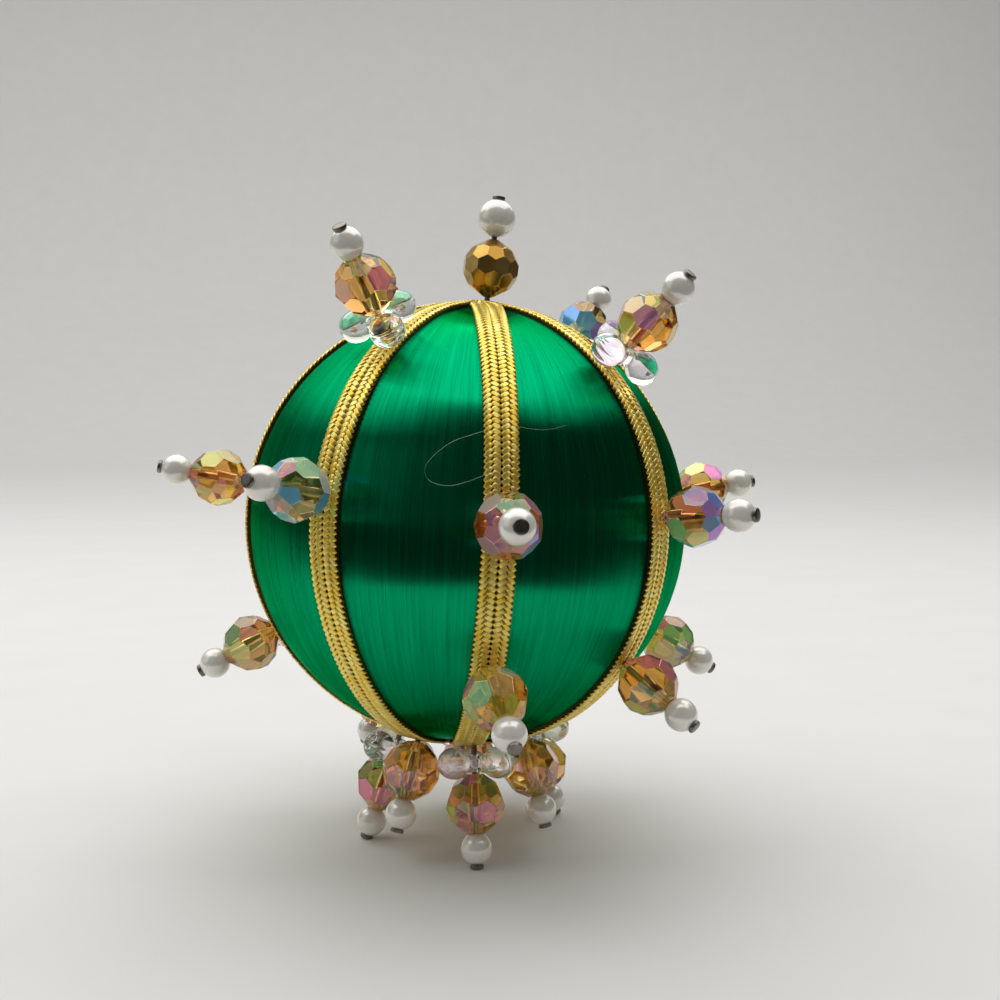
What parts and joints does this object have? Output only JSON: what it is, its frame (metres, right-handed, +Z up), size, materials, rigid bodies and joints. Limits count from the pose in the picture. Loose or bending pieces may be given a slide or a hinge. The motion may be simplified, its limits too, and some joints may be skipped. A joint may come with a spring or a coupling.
{
  "type": "beaded satin ball christmas ornament",
  "caption": "Satin-wound ball with gold braid along its meridians and pins of cut beads and pearls standing out all round, resting on its lower pins.",
  "frame": {"origin": "middle of the ornament's box, on the surface it stands on", "axes": "+Z up, -Y towards the front braid, +X to its right; the ball's pole leans 2.8 degrees towards +X, as it stands in the picture"},
  "size_m": [0.0902, 0.0908, 0.0948],
  "materials": {
    "satin": "bright green satin floss laid pole to pole",
    "gold_braid": "flat metallic gold braid",
    "amber_bead": "clear amber, cut, with an iridescent coat",
    "clear_bead": "clear, three-lobed, with an iridescent coat",
    "gilt_bead": "gilt, cut",
    "pearl": "imitation pearl",
    "pin_steel": "plain steel"
  },
  "bodies": {
    "root": {"satin_ball": "satin", "braid_1": "gold_braid", "braid_2": "gold_braid", "braid_3": "gold_braid", "braid_4": "gold_braid", "braid_5": "gold_braid", "braid_6": "gold_braid", "braid_7": "gold_braid", "braid_8": "gold_braid", "equator_pin_1": "amber_bead", "equator_pin_2": "amber_bead", "equator_pin_3": "amber_bead", "equator_pin_4": "amber_bead", "equator_pin_5": "amber_bead", "equator_pin_6": "amber_bead", "equator_pin_7": "amber_bead", "equator_pin_8": "amber_bead", "lower_pin_1": "amber_bead", "lower_pin_2": "amber_bead", "lower_pin_3": "amber_bead", "lower_pin_4": "amber_bead", "lower_pin_5": "amber_bead", "lower_pin_6": "amber_bead", "lower_pin_7": "amber_bead", "upper_pin_2": "amber_bead", "upper_tri_2": "clear_bead", "upper_pin_4": "amber_bead", "upper_tri_4": "clear_bead", "upper_pin_6": "amber_bead", "upper_tri_6": "clear_bead", "upper_pin_8": "amber_bead", "upper_tri_8": "clear_bead", "under_pin_2": "amber_bead", "under_pin_4": "amber_bead", "under_pin_6": "amber_bead", "under_pin_8": "amber_bead", "foot_pin_1": "amber_bead", "foot_tri_1": "clear_bead", "foot_pin_3": "amber_bead", "foot_tri_3": "clear_bead", "foot_pin_5": "amber_bead", "foot_tri_5": "clear_bead", "foot_pin_7": "amber_bead", "foot_tri_7": "clear_bead", "crown_bead": "gilt_bead", "crown_pin": "pearl", "base_pin": "pin_steel"}
  },
  "joints": []
}
